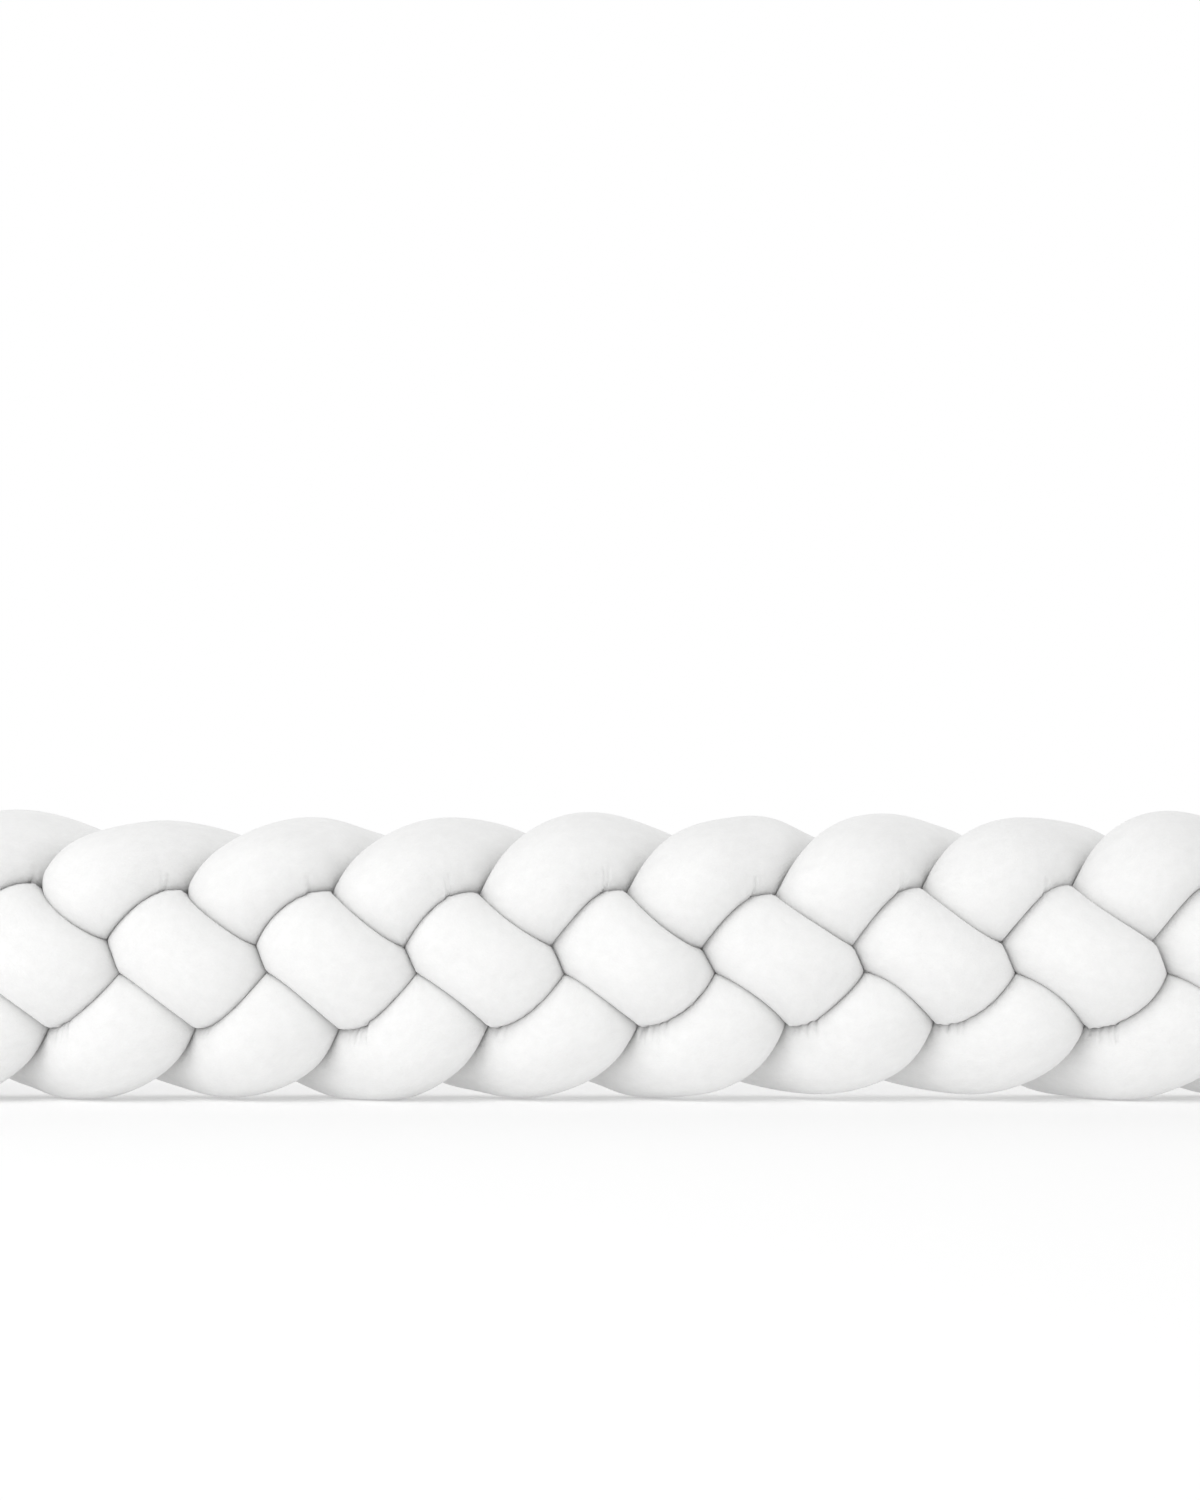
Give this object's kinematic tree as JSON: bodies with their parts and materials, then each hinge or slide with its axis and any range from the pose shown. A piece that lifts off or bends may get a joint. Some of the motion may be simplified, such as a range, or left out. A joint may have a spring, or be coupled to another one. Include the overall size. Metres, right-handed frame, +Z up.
{
  "type": "braided crib bumper",
  "caption": "Long padded braid of stuffed white velour tubes, standing on edge along the inside of a cot as a soft edge guard.",
  "frame": {"origin": "under the middle of the braid, on the surface that it stands on", "axes": "+X along the braid, +Z up, -Y towards the face side, on which the outer lobes rise towards +X and lie in front"},
  "size_m": [1.2004, 0.1246, 0.163],
  "materials": {
    "velour": "soft white velour with a short matt nap"
  },
  "bodies": {
    "root": {"strand_1": "velour", "strand_2": "velour", "strand_3": "velour", "strand_4": "velour"}
  },
  "joints": []
}
